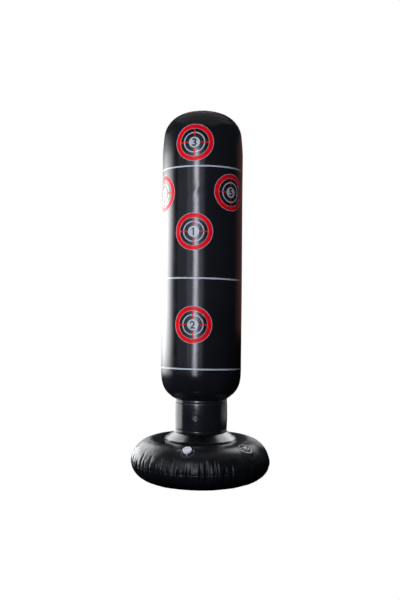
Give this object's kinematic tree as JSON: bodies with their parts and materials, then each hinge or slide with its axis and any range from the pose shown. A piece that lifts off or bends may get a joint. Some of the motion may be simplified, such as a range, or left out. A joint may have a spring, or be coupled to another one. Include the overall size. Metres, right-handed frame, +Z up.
{
  "type": "free standing punching bag",
  "caption": "Inflatable free-standing punching bag: printed air column that bends at its neck and springs back, on a water-filled ring base with filling valves.",
  "frame": {"origin": "on the floor, at the centre of the base, on the column's axis", "axes": "+Z up along the column's axis; -Y towards the printed front, where the water valve and the neck valve are; +X to the right as seen from the front"},
  "size_m": [0.6, 0.6, 1.6],
  "materials": {
    "column_film": "satin-gloss welded PVC film",
    "neck_film": "satin-gloss welded PVC film",
    "divider_film": "satin-gloss welded PVC film",
    "base_film": "satin-gloss welded PVC film",
    "water": "clear water ballast",
    "flange_film": "semi-clear grey PVC film",
    "seat_plastic": "glossy black moulded PVC",
    "plug_plastic": "white moulded plastic",
    "strap_plastic": "soft grey PVC",
    "valve_plastic": "clear soft PVC"
  },
  "bodies": {
    "base": {"base_lower_panel": "base_film", "base_upper_panel": "base_film", "base_inner_tube": "base_film", "base_collar": "base_film", "chamber_divider": "divider_film", "water_ballast": "water", "water_valve_flange": "flange_film", "water_valve_seat": "seat_plastic", "water_valve_strap": "strap_plastic", "base_valve_sleeve": "valve_plastic"},
    "neck": {"neck_skin": "neck_film", "neck_valve_sleeve": "valve_plastic"},
    "column": {"column_skin": "column_film", "column_top_panel": "column_film", "column_bottom_panel": "column_film"},
    "neck_valve_stem": {"neck_valve_stem": "valve_plastic", "neck_valve_strap": "valve_plastic"},
    "neck_valve_stopper": {"neck_valve_stopper": "valve_plastic"},
    "neck_valve_flap": {"neck_valve_flap": "valve_plastic"},
    "base_valve_stem": {"base_valve_stem": "valve_plastic", "base_valve_strap": "valve_plastic"},
    "base_valve_stopper": {"base_valve_stopper": "valve_plastic"},
    "base_valve_flap": {"base_valve_flap": "valve_plastic"},
    "water_plug": {"water_valve_plug": "plug_plastic"}
  },
  "joints": [
    {"name": "lean_front_back", "type": "hinge", "parent": "base", "child": "neck", "pos_m": [0, 0, 0.235], "axis": [1, 0, 0], "range_deg": [-15, 15], "stiffness_Nm_per_rad": 60, "deforming": ["neck_skin"]},
    {"name": "lean_side", "type": "hinge", "parent": "neck", "child": "column", "pos_m": [0, 0, 0.319], "axis": [0, 1, 0], "range_deg": [-15, 15], "stiffness_Nm_per_rad": 60, "deforming": ["neck_skin"]},
    {"name": "neck_valve_stem_pull", "type": "slide", "parent": "neck", "child": "neck_valve_stem", "axis": [0, -1, 0], "range_m": [0, 0.008]},
    {"name": "neck_valve_stopper_pull", "type": "slide", "parent": "neck_valve_stem", "child": "neck_valve_stopper", "axis": [0, -1, 0], "range_m": [0, 0.01], "deforming": ["neck_valve_strap"]},
    {"name": "neck_valve_flap_open", "type": "hinge", "parent": "neck_valve_stem", "child": "neck_valve_flap", "pos_m": [0, -0.0883, 0.2836], "axis": [1, 0, 0], "range_deg": [0, 40], "stiffness_Nm_per_rad": 0.0002, "springref_deg": -5.73},
    {"name": "base_valve_stem_pull", "type": "slide", "parent": "base", "child": "base_valve_stem", "axis": [0.3823, -0.2033, 0.9014], "range_m": [0, 0.008]},
    {"name": "base_valve_stopper_pull", "type": "slide", "parent": "base_valve_stem", "child": "base_valve_stopper", "axis": [0.3823, -0.2033, 0.9014], "range_m": [0, 0.01], "deforming": ["base_valve_strap"]},
    {"name": "base_valve_flap_open", "type": "hinge", "parent": "base_valve_stem", "child": "base_valve_flap", "pos_m": [0.20089, -0.10682, 0.14099], "axis": [0.4695, 0.8829, 0], "range_deg": [0, 40], "stiffness_Nm_per_rad": 0.0002, "springref_deg": -5.73},
    {"name": "water_plug_pull", "type": "slide", "parent": "base", "child": "water_plug", "axis": [0, -0.4845, 0.8748], "range_m": [0, 0.028], "deforming": ["water_valve_strap"]}
  ]
}
